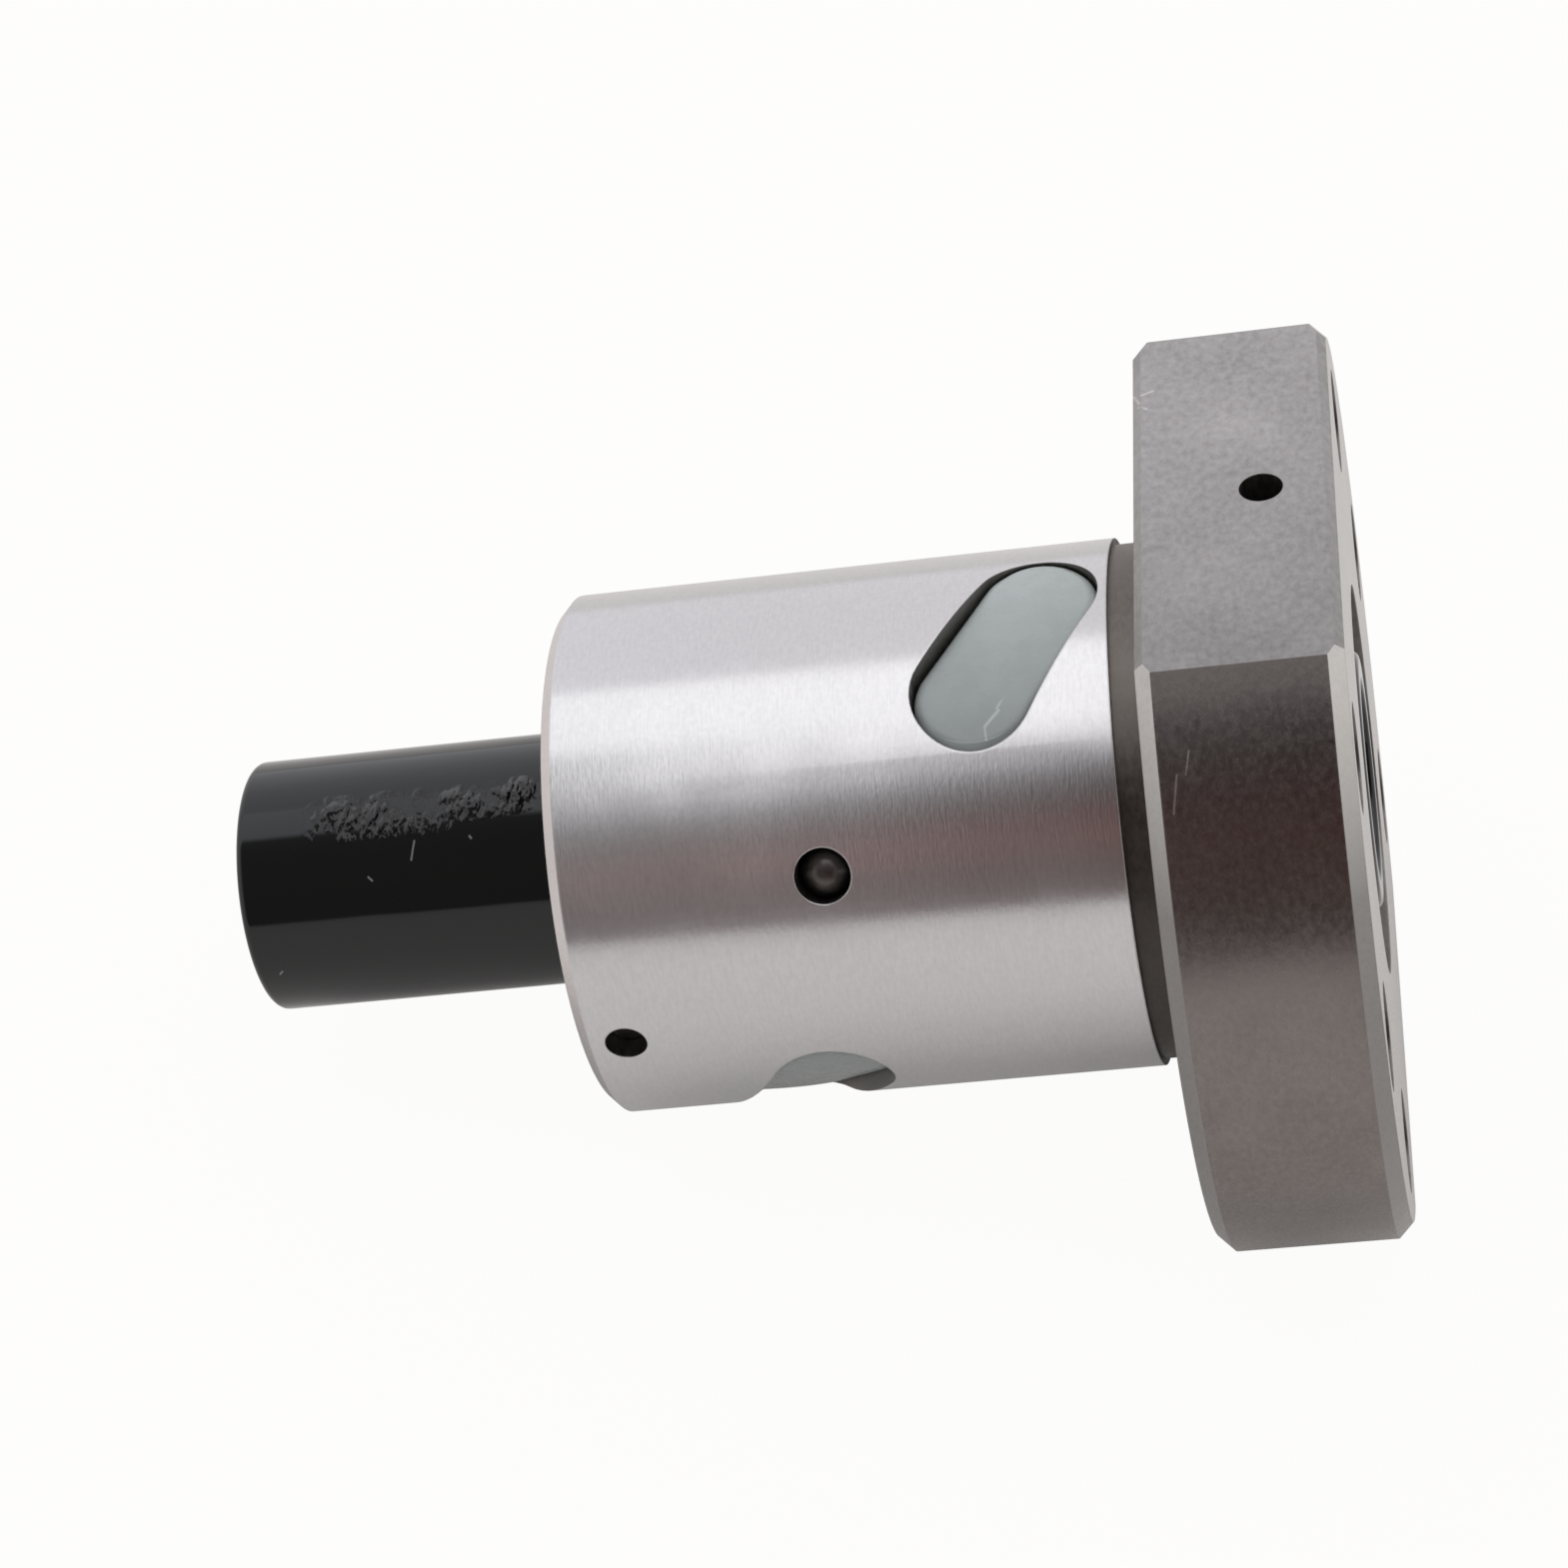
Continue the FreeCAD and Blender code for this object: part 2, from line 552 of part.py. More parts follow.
for item in doc.Objects:
    if "Invalid" in item.State or "Error" in item.State:
        raise RuntimeError(f"{item.Label} failed: {item.State}")
for part in parts:
    if part.Shape.isNull() or not part.Shape.isValid():
        raise RuntimeError(f"{part.Label} has no valid shape")
    if len(part.Shape.Solids) != 1:
        raise RuntimeError(f"{part.Label} has {len(part.Shape.Solids)} solids")

os.makedirs("parts", exist_ok=True)
for part in parts:
    part.Shape.exportStep(f"parts/{part.Label}.step")
print(f"{len(parts)} parts, tilt {tilt:.3f} degrees, slots lean {slot_lean:.2f} degrees")
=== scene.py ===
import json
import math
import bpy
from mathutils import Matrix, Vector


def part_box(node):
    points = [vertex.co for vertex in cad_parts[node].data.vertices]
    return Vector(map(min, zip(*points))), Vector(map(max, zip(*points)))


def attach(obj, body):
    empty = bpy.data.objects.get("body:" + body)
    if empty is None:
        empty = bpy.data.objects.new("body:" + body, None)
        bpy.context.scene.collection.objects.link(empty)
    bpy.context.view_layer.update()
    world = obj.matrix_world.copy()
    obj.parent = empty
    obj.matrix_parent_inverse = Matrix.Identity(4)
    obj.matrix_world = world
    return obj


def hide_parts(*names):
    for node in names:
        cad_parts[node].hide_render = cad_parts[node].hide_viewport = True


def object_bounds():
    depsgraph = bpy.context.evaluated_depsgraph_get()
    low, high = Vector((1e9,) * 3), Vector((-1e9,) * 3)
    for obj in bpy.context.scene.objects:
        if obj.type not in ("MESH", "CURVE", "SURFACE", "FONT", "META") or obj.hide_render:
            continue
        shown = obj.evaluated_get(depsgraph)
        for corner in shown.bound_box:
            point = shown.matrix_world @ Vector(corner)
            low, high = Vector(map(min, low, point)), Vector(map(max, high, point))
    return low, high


bl_info = {
    "name": "Ball nut on its transport sleeve",
    "version": (1, 0, 0),
    "blender": (4, 5, 0),
    "location": "View3D > Sidebar > Ball nut",
    "description": "Finishes a ball nut, its caps, balls, wipers and sleeve, and sets its stage",
    "category": "Object",
}

import bpy
import numpy as np
from bpy.props import FloatProperty, FloatVectorProperty, IntProperty, PointerProperty
from mathutils import Matrix

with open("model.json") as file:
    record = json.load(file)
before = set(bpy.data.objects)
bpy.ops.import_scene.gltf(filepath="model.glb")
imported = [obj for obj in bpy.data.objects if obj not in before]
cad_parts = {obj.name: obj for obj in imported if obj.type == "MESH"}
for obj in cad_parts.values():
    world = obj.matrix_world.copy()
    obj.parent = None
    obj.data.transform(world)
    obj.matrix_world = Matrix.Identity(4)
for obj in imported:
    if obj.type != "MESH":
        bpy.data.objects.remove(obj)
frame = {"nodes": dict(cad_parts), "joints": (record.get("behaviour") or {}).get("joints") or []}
CAD_LOW, CAD_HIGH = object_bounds()

# The nut's own frame has X along its axis, X = 0 at the flange's inner face and Z square to the
# flats. The nut lies tilted on its flange's lower flat and the rim of the barrel.
SLIDE_AXIS = frame["joints"][0]["axis"]
TILT = math.atan2(SLIDE_AXIS[2], SLIDE_AXIS[0])


def row_frame(points):
    """Points of the nut's own frame, turned by the tilt about Y into the frame the parts share."""
    x, y, z = np.moveaxis(np.asarray(points, float), -1, 0)
    cos, sin = math.cos(TILT), math.sin(TILT)
    return np.stack([x * cos - z * sin, y, x * sin + z * cos], axis=-1)


def nut_frame(points):
    """The way back: points of the shared frame turned into the nut's own frame."""
    x, y, z = np.moveaxis(np.asarray(points, float), -1, 0)
    cos, sin = math.cos(TILT), math.sin(TILT)
    return np.stack([x * cos + z * sin, y, z * cos - x * sin], axis=-1)


# Sizes and colours that a user would change


def length(name, default, description):
    return FloatProperty(name=name, description=description, default=default, min=0.0,
                         unit="LENGTH", subtype="DISTANCE", precision=5)


def angle(name, degrees, description):
    return FloatProperty(name=name, description=description, default=math.radians(degrees),
                         subtype="ANGLE")


def place(name, default, description):
    return FloatVectorProperty(name=name, description=description, default=default, size=3,
                               subtype="XYZ", unit="LENGTH")


def colour(name, default, description):
    return FloatVectorProperty(name=name, description=description, default=default, size=3,
                               min=0.0, max=1.0, subtype="COLOR")


class NutSizes(bpy.types.PropertyGroup):
    barrel_radius: length("Barrel", 0.014, "Radius of the ground barrel")
    neck_radius: length("Neck", 0.01365, "Radius of the undercut beside the flange")
    neck_width: length("Neck width", 0.0021, "Width of the undercut")
    flange_radius: length("Flange", 0.024, "Radius of the flange's round rim")
    flange_thick: length("Flange thickness", 0.010, "Thickness of the flange")
    half_flats: length("Half flats", 0.020, "From the axis to a flat of the flange")
    sleeve_radius: length("Sleeve", 0.0068, "Outer radius of the transport sleeve")
    sleeve_bore: length("Sleeve bore", 0.0052, "Inner radius of the transport sleeve")
    sleeve_length: length("Sleeve length", 0.060, "Length of the transport sleeve")
    sleeve_lip: length("Sleeve lip", 0.00045, "Rounding of the sleeve's two ends")
    cap_length: length("Cap length", 0.0130, "Return cap over its round ends")
    cap_width: length("Cap width", 0.0062, "Width of a return cap")
    cap_edge: length("Cap edge", 0.0006, "Rounding of a cap's outer edge")
    cap_top: length("Cap top", 0.01328, "From the axis to a cap's moulded face, without its crown")
    cap_crown: length("Cap crown", 0.00008, "Rise of the moulded face from its edge to its middle")
    cap_dome: length("Cap dome", 0.028, "Radius that the moulded face is domed to round the nut")


class NutColours(bpy.types.PropertyGroup):
    barrel: colour("Barrel", (0.66, 0.65, 0.655), "Finely ground steel")
    rim: colour("Rim", (0.24, 0.213, 0.202), "Turned rim of the flange")
    flat: colour("Flat", (0.385, 0.371, 0.369), "Milled flats of the flange")
    face: colour("Faces", (0.60, 0.585, 0.57), "Faced ends of the flange and the barrel")
    edge: colour("Edges", (0.58, 0.56, 0.54), "Bright chamfers of the flange")
    tip: colour("Tip", (0.74, 0.70, 0.69), "Bright chamfer at the barrel's free end")
    neck: colour("Neck", (0.17, 0.152, 0.138), "Undercut left dark by the turning tool")
    bore: colour("Bores", (0.30, 0.285, 0.27), "Holes, slots and the ball track")
    cap: colour("Caps", (0.385, 0.42, 0.418), "Moulded plastic of the return caps")
    wiper: colour("Wipers", (0.035, 0.035, 0.037), "Moulded plastic of the wipers")
    sleeve: colour("Sleeve", (0.003, 0.003, 0.0032), "Black plastic of the sleeve")
    screw: colour("Grub screws", (0.09, 0.088, 0.085), "Dark oxide on the grub screws")
    ball: colour("Balls", (0.62, 0.61, 0.60), "Polished bearing balls")
    # Painted shade: the plug ball is a steel ball, and its dark colour stands for the shade of the
    # hole it sits in
    plug: colour("Plug ball", (0.12, 0.11, 0.105), "Dark ball that closes the hole in the barrel")
    steel_scratch: colour("Scratched steel", (0.62, 0.60, 0.585), "Fresh scratches in the flange")
    cap_scratch: colour("Scratched cap", (0.50, 0.545, 0.54), "Scratch in the first cap")
    sleeve_scratch: colour("Scratched sleeve", (0.20, 0.20, 0.21), "Scratches in the sleeve")


class Studio(bpy.types.PropertyGroup):
    camera_place: place("Camera", (-0.01176, -0.16475, 0.14798), "Where the camera stands")
    camera_aim: place("Aim", (-0.02104, 0.0, -0.00026), "Point in the middle of the picture")
    camera_roll: angle("Roll", 0.3, "Turn of the camera about its own line of sight")
    camera_view: angle("Field of view", 21.27, "Angle across the square picture")
    lamp_place: place("Lamp place", (-0.15, 0.12, 0.5), "Where the soft lamp hangs")
    lamp_width: length("Lamp width", 0.5, "Diameter of the soft lamp")
    lamp_power: FloatProperty(name="Lamp", description="Power of the large soft lamp overhead",
                              default=0.55, min=0.0, subtype="POWER")
    floor_half: length("Floor", 1.5, "Half the width of the floor")
    floor_paper: colour("Floor", (0.93, 0.90, 0.875), "Pale paper of the floor")


# Materials are built from a few nodes: colour, roughness and bump from noise in the nut's own frame


class Nodes:
    """A node tree with short ways to add nodes and join them. A value for a node's input is a
    number, a vector, a colour or another node's output."""

    def __init__(self, tree):
        self.tree = tree

    def feed(self, socket, value):
        if isinstance(value, bpy.types.NodeSocket):
            self.tree.links.new(value, socket)
        elif socket.type == "RGBA" and len(value) == 3:
            socket.default_value = (*value, 1.0)
        else:
            socket.default_value = value

    def add(self, kind, inputs=(), **settings):
        """A node with its settings. Its inputs are given in order, or by name in a dictionary."""
        node = self.tree.nodes.new("ShaderNode" + kind)
        for name, value in settings.items():
            setattr(node, name, value)
        pairs = inputs.items() if isinstance(inputs, dict) else enumerate(inputs)
        for key, value in pairs:
            self.feed(node.inputs[key], value)
        return node

    def maths(self, operation, *values):
        return self.add("Math", values, operation=operation).outputs[0]

    def vectors(self, operation, *values):
        """The node of a vector sum, whose result is a vector or a number."""
        return self.add("VectorMath", values, operation=operation)

    def spread(self, value, low, high, start=0.3, end=0.7):
        """A value carried from the range start to end to the range low to high, and held in it."""
        return self.add("MapRange", {"Value": value, "From Min": start, "From Max": end,
                                     "To Min": low, "To Max": high}).outputs["Result"]

    def blend(self, share, first, second, kind="MIX"):
        """The colour between two others by a share, or with the kind MULTIPLY their product."""
        node = self.add("Mix", data_type="RGBA", blend_type=kind)
        sockets = {socket.identifier: socket for socket in node.inputs}
        self.feed(sockets["Factor_Float"], share)
        self.feed(sockets["A_Color"], first)
        self.feed(sockets["B_Color"], second)
        return next(s for s in node.outputs if s.identifier == "Result_Color")


class Finish(Nodes):
    """A material whose patterns lie in the nut's own frame."""

    def __init__(self, name, base, metallic, roughness):
        self.material = bpy.data.materials.new(name)
        self.material.use_nodes = True
        super().__init__(self.material.node_tree)
        self.shader = self.tree.nodes["Principled BSDF"]
        self.base = tuple(base)
        self.set("Base Color", self.base)
        self.set("Metallic", metallic)
        self.set("Roughness", roughness)

    def set(self, name, value):
        self.feed(self.shader.inputs[name], value)

    def along_axis(self, stretch=(1.0, 1.0, 1.0)):
        """Object coordinates turned so that X runs along the nut's axis, then stretched."""
        coordinates = self.add("TexCoord").outputs["Object"]
        turned = self.add("Mapping", {"Vector": coordinates, "Rotation": (0.0, TILT, 0.0)})
        return self.add("Mapping", {"Vector": turned.outputs[0], "Scale": stretch}).outputs[0]

    def noise(self, scale, stretch=(1.0, 1.0, 1.0), detail=3.0, rough=0.55):
        """Noise with so many bumps to a metre, as a value about one half."""
        return self.add("TexNoise", {"Vector": self.along_axis(stretch), "Scale": scale,
                                     "Detail": detail, "Roughness": rough}).outputs["Fac"]

    def tone(self, share, strength):
        """The base colour made darker and lighter by a value from 0 to 1."""
        dark = tuple(c * (1 - strength) for c in self.base)
        light = tuple(min(1.0, c * (1 + strength)) for c in self.base)
        return self.blend(share, dark, light)

    def under(self):
        """What the shader has for its base colour so far."""
        links = self.shader.inputs["Base Color"].links
        return links[0].from_socket if links else self.base

    def mark(self, share, shade):
        """Another colour over the base colour where the share is 1."""
        self.set("Base Color", self.blend(share, self.under(), tuple(shade)))

    def across(self, axis, start, end, first, last):
        """The base colour times a number that goes from first to last between two places, start and
        end, along an axis of the nut's own frame. In this script it paints light and shade onto a
        surface by place."""
        split = self.add("SeparateXYZ", (self.along_axis(),)).outputs
        share = self.spread(split[axis], 0.0, 1.0, start, end)
        grey = self.blend(share, (first,) * 3, (last,) * 3)
        self.set("Base Color", self.blend(1.0, self.under(), grey, "MULTIPLY"))

    def scratches(self, lines):
        """1 along short straight lines and 0 beside them. A line is its two ends in the nut's own
        frame and its width. The distance from a line is that from the nearest point between its
        ends."""
        coordinates = self.along_axis()
        share = 0.0
        for start, end, width in lines:
            start, run = np.array(start), np.array(end) - np.array(start)
            shift = self.vectors("SUBTRACT", coordinates, tuple(start)).outputs[0]
            part = self.vectors("DOT_PRODUCT", shift, tuple(run / run.dot(run))).outputs["Value"]
            held = self.spread(part, 0.0, 1.0, 0.0, 1.0)
            nearest = self.add("VectorMath", {"Vector": tuple(run), "Scale": held},
                               operation="SCALE")
            away = self.vectors("DISTANCE", shift, nearest.outputs[0]).outputs["Value"]
            on_line = self.spread(away, 1.0, 0.0, width * 0.3, width)
            share = self.maths("MAXIMUM", share, on_line)
        return share

    def bump(self, height, distance, soft_edge=0.0):
        """Small relief of that depth, on edges softened by a small radius."""
        inputs = {"Height": height, "Distance": distance, "Strength": 1.0}
        if soft_edge:
            inputs["Normal"] = self.add("Bevel", {"Radius": soft_edge}, samples=4).outputs[0]
        self.set("Normal", self.add("Bump", inputs).outputs[0])


def steel(name, base, roughness, grain, relief, streak=(1.0, 1.0, 1.0), mottle=0.12,
          soft_edge=0.0001):
    """Bare steel: fine grain stretched by the cut's streaks, over slow changes of tone that are
    about sixteen times as wide. mottle is the share by which the tone changes."""
    finish = Finish(name, base, 1.0, roughness)
    fine = finish.noise(grain, streak, 4.0, 0.65)
    slow = finish.noise(grain * 0.06)
    mixed = finish.maths("MULTIPLY_ADD", fine, 0.65, finish.maths("MULTIPLY", slow, 0.35))
    finish.set("Base Color", finish.tone(finish.spread(mixed, 0.0, 1.0, 0.35, 0.65), mottle))
    finish.set("Roughness", finish.spread(fine, roughness * 0.8, roughness * 1.25))
    finish.bump(fine, relief, soft_edge)
    return finish


def plastic(name, base, roughness, grain, relief, mottle):
    """Moulded plastic: a faint unevenness of tone and surface."""
    finish = Finish(name, base, 0.0, roughness)
    uneven = finish.noise(grain)
    finish.set("Base Color", finish.tone(finish.spread(uneven, 0.0, 1.0), mottle))
    finish.set("Roughness", finish.spread(uneven, roughness * 0.85, roughness * 1.2))
    finish.bump(uneven, relief)
    return finish


# Meshes


def mesh_object(name, points, faces, finishes, sharp=None):
    """A piece whose place is in its mesh, shaded smooth apart from edges sharper than an angle in
    degrees, where one is given."""
    mesh = bpy.data.meshes.new(name)
    mesh.from_pydata(np.asarray(points).tolist(), [], faces)
    for finish in finishes:
        mesh.materials.append(finish.material)
    mesh.polygons.foreach_set("use_smooth", np.ones(len(mesh.polygons), bool))
    mesh.update()
    if sharp is not None:
        mesh.set_sharp_from_angle(angle=math.radians(sharp))
    piece = bpy.data.objects.new(name, mesh)
    bpy.context.scene.collection.objects.link(piece)
    return piece


def merged_copy(node):
    """Corners and triangles of a node, with the corners that fall together made one."""
    mesh = frame["nodes"][node].data
    corners = np.empty(len(mesh.vertices) * 3)
    mesh.vertices.foreach_get("co", corners)
    mesh.calc_loop_triangles()
    triangles = np.empty(len(mesh.loop_triangles) * 3, int)
    mesh.loop_triangles.foreach_get("vertices", triangles)
    places, index = np.unique(corners.reshape(-1, 3).round(7), axis=0, return_inverse=True)
    triangles = index.reshape(-1)[triangles].reshape(-1, 3)
    a, b, c = triangles.T
    whole = (a != b) & (b != c) & (c != a)
    return places, triangles[whole]


def settle(piece, body, slot, *nodes):
    """The piece moves with a body and stands for its nodes, which are hidden; its slot is not used.
    """
    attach(piece, body)
    if nodes:
        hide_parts(*nodes)


def dress(node, name, slot, finishes, choose=None):
    """A smooth-shaded copy of one of the nut's nodes that stands for it. choose gives each face
    the number of its finish."""
    points, faces = merged_copy(node)
    piece = mesh_object(name, points, faces.tolist(), finishes, sharp=25.0)
    if choose is not None:
        corners = nut_frame(points)[faces]
        normal = np.cross(corners[:, 1] - corners[:, 0], corners[:, 2] - corners[:, 0])
        normal /= np.maximum(np.linalg.norm(normal, axis=1, keepdims=True), 1e-15)
        piece.data.polygons.foreach_set("material_index", choose(corners, normal))
    settle(piece, "nut", slot, node)


def grid_faces(rows, columns, wrap_rows=False):
    """Quads of a grid whose columns close round. With wrap_rows the rows close too."""
    row = np.arange(rows if wrap_rows else rows - 1)[:, None]
    column = np.arange(columns)[None, :]
    below = (row + 1) % rows
    right = (column + 1) % columns
    return np.stack(np.broadcast_arrays(row * columns + column, row * columns + right,
                                        below * columns + right, below * columns + column),
                    axis=-1).reshape(-1, 4)


def turned(profile, steps):
    """Surface of revolution about the nut's axis: each profile point (x, r) goes to
    (x, -r sin t, r cos t) for t round the circle. The profile closes on itself."""
    t = np.linspace(0.0, 2 * np.pi, steps, endpoint=False)
    x = np.repeat(profile[:, :1], steps, axis=1)
    y = -profile[:, 1:] * np.sin(t)
    z = profile[:, 1:] * np.cos(t)
    points = np.stack([x, y, z], axis=-1).reshape(-1, 3)
    return points, grid_faces(len(profile), steps, True).tolist()


def quarter(centre, radius, start, steps=6):
    """Quarter circle in the profile plane, anticlockwise from an angle in degrees: the centre plus
    the radius times (cos a, sin a)."""
    a = np.radians(start) + np.linspace(0.0, np.pi / 2, steps)
    return np.stack([centre[0] + radius * np.cos(a), centre[1] + radius * np.sin(a)], axis=-1)


def outward(turn):
    """Unit vectors out from the axis, along the axis and round it, at an angle round the axis."""
    out = np.array([0.0, -math.sin(turn), math.cos(turn)])
    along = np.array([1.0, 0.0, 0.0])
    return out, along, np.cross(out, along)


def spheres(middles, radius, steps=20, rings=11):
    """Spheres at the given middles: middle + radius (sin p cos t, sin p sin t, cos p), with each
    pole closed by a fan."""
    t = np.linspace(0.0, 2 * np.pi, steps, endpoint=False)[None, :]
    p = np.linspace(0.0, np.pi, rings + 2)[1:-1, None]
    ball = np.stack(np.broadcast_arrays(np.sin(p) * np.cos(t), np.sin(p) * np.sin(t), np.cos(p)),
                    axis=-1)
    ball = np.concatenate([ball.reshape(-1, 3), [[0, 0, 1], [0, 0, -1]]]) * radius
    quads = grid_faces(rings, steps)[:, ::-1]
    step = np.arange(steps)
    after = (step + 1) % steps
    last = (rings - 1) * steps
    pole = rings * steps
    top = np.stack([np.full(steps, pole), step, after], axis=-1)
    low = np.stack([np.full(steps, pole + 1), last + after, last + step], axis=-1)
    faces = []
    for number in range(len(middles)):
        shift = number * len(ball)
        for part in (quads, top, low):
            faces += (part + shift).tolist()
    return (np.asarray(middles)[:, None, :] + ball[None, :, :]).reshape(-1, 3), faces


# One operator for each piece or group of like pieces. Each scratch or crumpled line is its two ends
# in the nut's own frame and its width.


class BALLNUT_OT_body(bpy.types.Operator):
    """The nut: ground barrel, dark neck, turned and milled flange, bright chamfers; painted light
    and shade vary the rim, flats, chamfers and neck
    """

    bl_idname = "ballnut.body"
    bl_label = "Nut body"

    RIM_SCRATCHES = [
        ((0.001658, -0.017146, 0.016793), (0.001338, -0.018366, 0.015449), 0.00007),
        ((0.002325, -0.016379, 0.017542), (0.002079, -0.017175, 0.016763), 0.00006),
    ]
    FLAT_NICKS = [
        ((0.00005, 0.0092, 0.01960), (0.00038, 0.0081, 0.01993), 0.00012),
        ((0.00050, 0.0087, 0.02), (0.00110, 0.0090, 0.02), 0.00010),
        ((0.00030, 0.0079, 0.01985), (0.00075, 0.0075, 0.02), 0.00010),
    ]

    # A face belongs to a size when its corners lie this near to it, and to a chamfer within this
    # band beside an edge
    NEAR = 0.00006
    CHAMFER = 0.0008
    # How far a face's normal leans to the axis when it is square to it, and when it is slanting
    SQUARE = 0.98
    SLANT = (0.3, 0.95)
    # Square faces nearer to the axis than this share of the barrel's radius are bored, not faced
    BORED = 0.72

    def execute(self, context):
        sizes, shades = context.scene.nut_sizes, context.scene.nut_colours
        barrel = self.barrel_finish(shades.barrel)
        rim = steel("turned_rim", shades.rim, roughness=0.25, grain=4200, relief=0.000005,
                    streak=(0.8, 0.6, 0.6), mottle=0.13)
        # Painted shade: the rim is made darker towards its upper flat, standing for a darker
        # reflection there
        rim.across("Z", 0.0165, 0.0200, first=1.0, last=0.66)
        rim.mark(rim.scratches(self.RIM_SCRATCHES), shades.steel_scratch)
        flat = steel("milled_flat", shades.flat, roughness=0.40, grain=2700, relief=0.000014,
                     streak=(1.0, 0.7, 1.0), mottle=0.21)
        # Painted shade and light: the flat is made darker towards -Y and a little lighter towards
        # +Y
        flat.across("Y", -0.013, 0.006, first=0.80, last=1.06)
        flat.mark(flat.scratches(self.FLAT_NICKS), shades.steel_scratch)
        face = steel("faced_end", shades.face, roughness=0.28, grain=6000, relief=0.000004,
                     mottle=0.08)
        edge = steel("bright_edge", shades.edge, roughness=0.30, grain=3000, relief=0.000003,
                     mottle=0.07)
        # Painted shade: the flange's chamfers are made darker lower down, where they catch less
        # light
        edge.across("Z", 0.0110, 0.0190, first=0.5, last=1.0)
        tip = steel("barrel_tip", shades.tip, roughness=0.25, grain=4000, relief=0.000003,
                    streak=(1.0, 0.6, 0.6), mottle=0.05)
        # Painted shade: the barrel's end chamfer is made darker lower down
        tip.across("Z", -0.008, 0.006, first=0.5, last=1.0)
        neck = steel("dark_neck", shades.neck, roughness=0.42, grain=4000, relief=0.000012,
                     streak=(1.0, 0.5, 0.5), mottle=0.25)
        # Painted shade: the lower neck is made darker, standing for the shade of the flange and
        # barrel
        neck.across("Z", 0.006, 0.011, first=0.5, last=1.0)
        bore = steel("bored_steel", shades.bore, roughness=0.35, grain=5000, relief=0.000006,
                     streak=(1.0, 0.4, 0.4), mottle=0.15)
        finishes = [barrel, rim, flat, face, edge, tip, neck, bore]
        BARREL, RIM, FLAT, FACE, EDGE, TIP, NECK, BORE = range(len(finishes))

        def choose(corners, normal):
            """Which finish a face has, by its distance from the axis, its station along it, its
            height and its normal."""
            radius = np.linalg.norm(corners[:, :, 1:], axis=2)
            station, height = corners[:, :, 0], np.abs(corners[:, :, 2])
            lean = np.abs(normal[:, 0])
            outside = np.einsum("ij,ij->i", corners.mean(axis=1)[:, 1:], normal[:, 1:]) > 0
            square = lean > self.SQUARE
            slant = (lean > self.SLANT[0]) & (lean < self.SLANT[1]) & outside

            def at(values, size):
                return np.abs(values - size).max(axis=1) < self.NEAR

            index = np.full(len(corners), BORE)
            index[square & (radius.max(axis=1) > sizes.barrel_radius * self.BORED)] = FACE
            index[slant & (radius.min(axis=1) > sizes.barrel_radius - self.CHAMFER)] = EDGE
            beyond_neck = station.max(axis=1) < -sizes.neck_width - self.CHAMFER
            index[(index == EDGE) & beyond_neck] = TIP
            index[outside & at(radius, sizes.barrel_radius)] = BARREL
            index[outside & at(radius, sizes.flange_radius)] = RIM
            index[outside & at(radius, sizes.neck_radius)] = NECK
            index[square & at(station, -sizes.neck_width)] = NECK
            index[at(height, sizes.half_flats) & (np.abs(normal[:, 2]) > self.SQUARE)] = FLAT
            along_flat = np.abs(normal[:, 1]) < 0.05
            beside = along_flat & (height.min(axis=1) > sizes.half_flats - self.CHAMFER)
            index[slant & beside] = FLAT
            return index

        dress("nut_body", "nut_shell", "nut_steel", finishes, choose)
        return {"FINISHED"}

    def barrel_finish(self, base):
        """Ground steel: fine rings round the barrel under a mottled grain."""
        finish = Finish("ground_barrel", base, 1.0, 0.17)
        rings = finish.noise(9000, (1.0, 0.12, 0.12), 2.0, 0.5)
        grain = finish.noise(4200, (1.0, 0.75, 0.75), 4.0, 0.6)
        slow = finish.noise(260, (1.0, 0.6, 0.6))
        uneven = finish.maths("MULTIPLY_ADD", grain, 0.55, finish.maths("MULTIPLY", rings, 0.45))
        tone = finish.tone(finish.spread(uneven, 0.0, 1.0, 0.38, 0.62), 0.045)
        finish.set("Base Color", tone)
        finish.set("Roughness", finish.spread(slow, 0.15, 0.21))
        finish.bump(uneven, 0.0000045, 0.00016)
        return finish


